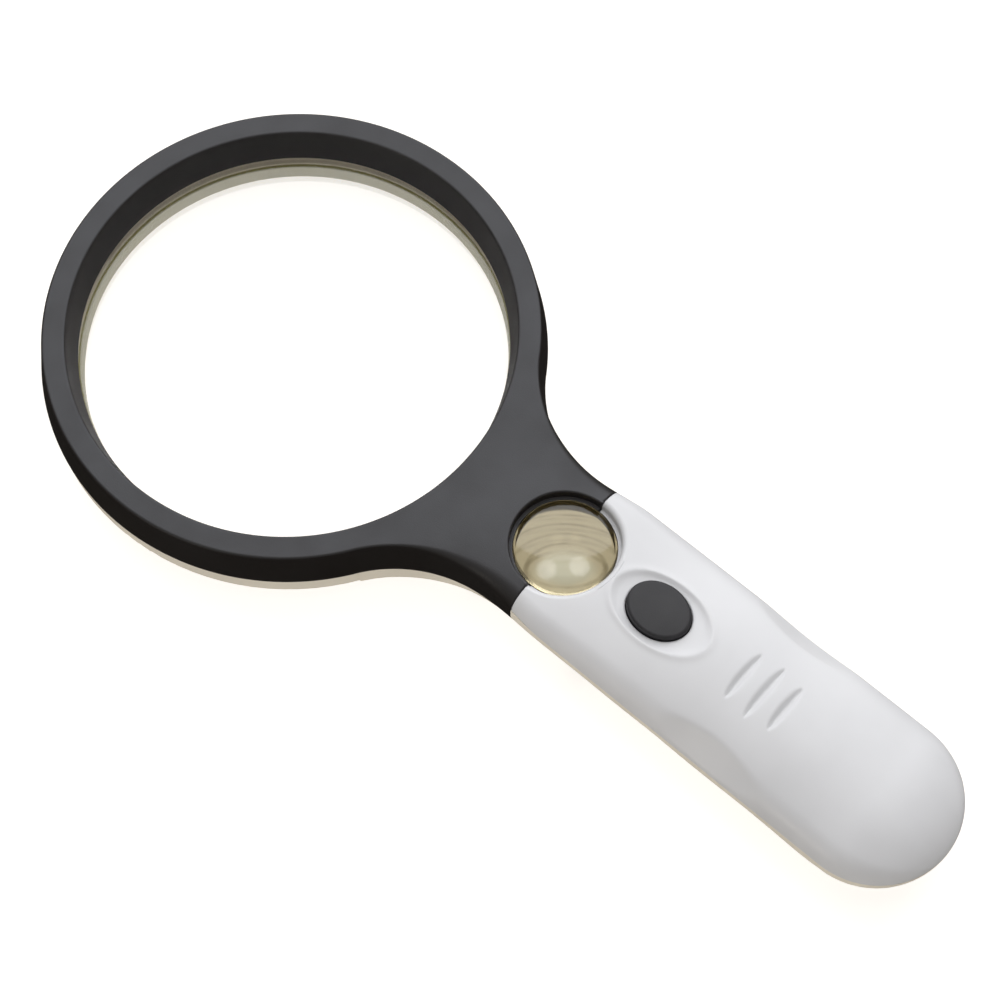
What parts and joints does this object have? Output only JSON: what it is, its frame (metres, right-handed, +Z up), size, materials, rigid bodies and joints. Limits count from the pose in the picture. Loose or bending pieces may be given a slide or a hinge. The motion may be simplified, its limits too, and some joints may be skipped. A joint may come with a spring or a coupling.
{
  "type": "illuminated hand magnifier",
  "caption": "Round hand-held reading magnifier with a large framed lens, a small strong lens in the neck, and a battery handle with a push button for the lamps.",
  "frame": {"origin": "middle of the outline's box, on the plane that the back of the ring and the handle rest on", "axes": "+X from the ring towards the tail of the handle, +Z up out of the reading side, where the button is"},
  "size_m": [0.185, 0.0882, 0.0175],
  "materials": {
    "black_shell": "fine satin grain",
    "white_shell": "smooth satin gloss",
    "white_inner": "plain moulded",
    "dark_inner": "plain moulded",
    "barrel": "plain moulded",
    "lens": "clear polished acrylic",
    "seal": "matt",
    "button": "soft matt",
    "spring_steel": "drawn wire",
    "board": "solder mask",
    "lamp": "clear epoxy",
    "window": "clear polished",
    "cell": "printed sleeve, plain",
    "contact": "nickel plated",
    "screw": "zinc plated",
    "wire_red": "insulation",
    "wire_black": "insulation"
  },
  "bodies": {
    "housing": {"front_ring_frame": "black_shell", "handle_front_shell": "white_shell", "rear_housing": "white_shell", "main_lens": "lens", "main_lens_seal": "seal", "small_lens": "lens", "small_lens_barrel": "barrel", "switch_body": "dark_inner", "button_spring": "spring_steel", "switch_board": "board", "series_resistor": "dark_inner", "lamp_board": "board", "led_lamp_1": "lamp", "led_lamp_2": "lamp", "led_lamp_3": "lamp", "lamp_window": "window", "battery_cell_1": "cell", "battery_cell_2": "cell", "positive_contact": "contact", "negative_contact": "contact", "negative_spring": "spring_steel", "bridge_contact": "contact", "bridge_spring": "spring_steel", "battery_cradle": "white_inner", "housing_screws": "screw", "lamp_wire_red": "wire_red", "lamp_wire_black": "wire_black"},
    "button": {"power_button": "button", "switch_plunger": "white_inner"},
    "door": {"battery_door": "white_shell"}
  },
  "joints": [
    {"name": "button_press", "type": "slide", "parent": "housing", "child": "button", "axis": [0, 0, -1], "range_m": [0, 0.0015], "stiffness_N_per_m": 1500, "deforming": ["button_spring"]},
    {"name": "door_slide", "type": "slide", "parent": "housing", "child": "door", "axis": [1, 0, 0], "range_m": [0, 0.056]}
  ]
}
